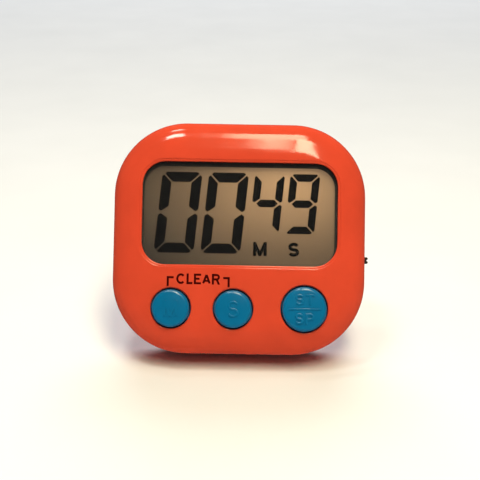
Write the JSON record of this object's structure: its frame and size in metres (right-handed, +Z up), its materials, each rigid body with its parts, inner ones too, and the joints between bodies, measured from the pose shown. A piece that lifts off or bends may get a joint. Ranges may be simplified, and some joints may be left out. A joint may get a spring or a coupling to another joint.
{
  "type": "kitchen timer",
  "caption": "Pocket-size digital kitchen countdown timer with a rounded plastic case, segment display, round push buttons, rear magnets, battery door and fold-out kickstand.",
  "frame": {"origin": "on the surface the timer stands on, midway left to right with the switch handle, and midway front to back", "axes": "+Z up; the display faces -Y, tilted 25 degrees upwards; +X to the right as the display is read"},
  "size_m": [0.0712, 0.0406, 0.063],
  "materials": {
    "orange_plastic": "glossy injection-moulded ABS, orange-red",
    "blue_plastic": "satin-gloss moulded ABS, blue",
    "black_plastic": "satin black",
    "clear_plastic": "clear polished window",
    "display_glass": "thin display glass with polariser",
    "reflector": "satin transflective film",
    "foam_rubber": "matt black",
    "silicone": "translucent grey silicone",
    "board": "paper-phenolic laminate, tan",
    "epoxy": "black potting epoxy",
    "ceramic": "off-white ceramic",
    "steel": "nickel-plated steel",
    "brass": "thin rolled brass",
    "magnet": "sintered magnet, nickel-plated",
    "battery_can": "plastic-wrapped cell",
    "red_insulation": "red PVC",
    "black_insulation": "black PVC"
  },
  "bodies": {
    "case": {"front_shell": "orange_plastic", "rear_shell": "orange_plastic", "display_lens": "clear_plastic", "lens_gasket": "foam_rubber", "front_polariser": "display_glass", "lcd_front_glass": "display_glass", "lcd_rear_glass": "display_glass", "reflector_film": "reflector", "zebra_strip": "foam_rubber", "key_membrane": "silicone", "circuit_board": "board", "chip_blob": "epoxy", "boost_coil": "foam_rubber", "driver_transistor": "epoxy", "crystal_can": "steel", "electrolytic_capacitor": "black_plastic", "chip_capacitor_1": "ceramic", "chip_capacitor_2": "ceramic", "chip_resistor_1": "epoxy", "chip_resistor_2": "epoxy", "switch_body": "steel", "piezo_plate": "brass", "piezo_ceramic": "ceramic", "piezo_ceramic_lead": "red_insulation", "piezo_plate_lead": "black_insulation", "battery": "battery_can", "battery_spring": "steel", "positive_contact": "steel", "negative_contact": "steel", "red_battery_lead": "red_insulation", "black_battery_lead": "black_insulation", "left_magnet": "magnet", "right_magnet": "magnet", "case_screw_1": "steel", "case_screw_2": "steel", "case_screw_3": "steel", "case_screw_4": "steel", "board_screw_1": "steel", "board_screw_2": "steel", "board_screw_3": "steel", "board_screw_4": "steel"},
    "minute_key": {"minute_button": "blue_plastic", "minute_contact_pill": "foam_rubber"},
    "second_key": {"second_button": "blue_plastic", "second_contact_pill": "foam_rubber"},
    "start_stop_key": {"start_stop_button": "blue_plastic", "start_stop_contact_pill": "foam_rubber"},
    "power_slider": {"switch_handle": "black_plastic"},
    "door": {"battery_door": "orange_plastic"},
    "stand": {"kickstand": "orange_plastic"}
  },
  "joints": [
    {"name": "minute_press", "type": "slide", "parent": "case", "child": "minute_key", "axis": [0, 0.9063, -0.4226], "range_m": [0, 0.0008], "stiffness_N_per_m": 1000, "deforming": ["key_membrane"]},
    {"name": "second_press", "type": "slide", "parent": "case", "child": "second_key", "axis": [0, 0.9063, -0.4226], "range_m": [0, 0.0008], "stiffness_N_per_m": 1000, "deforming": ["key_membrane"]},
    {"name": "start_stop_press", "type": "slide", "parent": "case", "child": "start_stop_key", "axis": [0, 0.9063, -0.4226], "range_m": [0, 0.0008], "stiffness_N_per_m": 1000, "deforming": ["key_membrane"]},
    {"name": "power_slide", "type": "slide", "parent": "case", "child": "power_slider", "axis": [0, -0.4226, -0.9063], "range_m": [0, 0.002]},
    {"name": "door_hinge", "type": "hinge", "parent": "case", "child": "door", "pos_m": [-0.00065, 0.01144, 0.03839], "axis": [-1, 0, 0], "range_deg": [0, 95]},
    {"name": "stand_hinge", "type": "hinge", "parent": "case", "child": "stand", "pos_m": [-0.00065, 0.00891, 0.03416], "axis": [-1, 0, 0], "range_deg": [0, 35.77]}
  ]
}
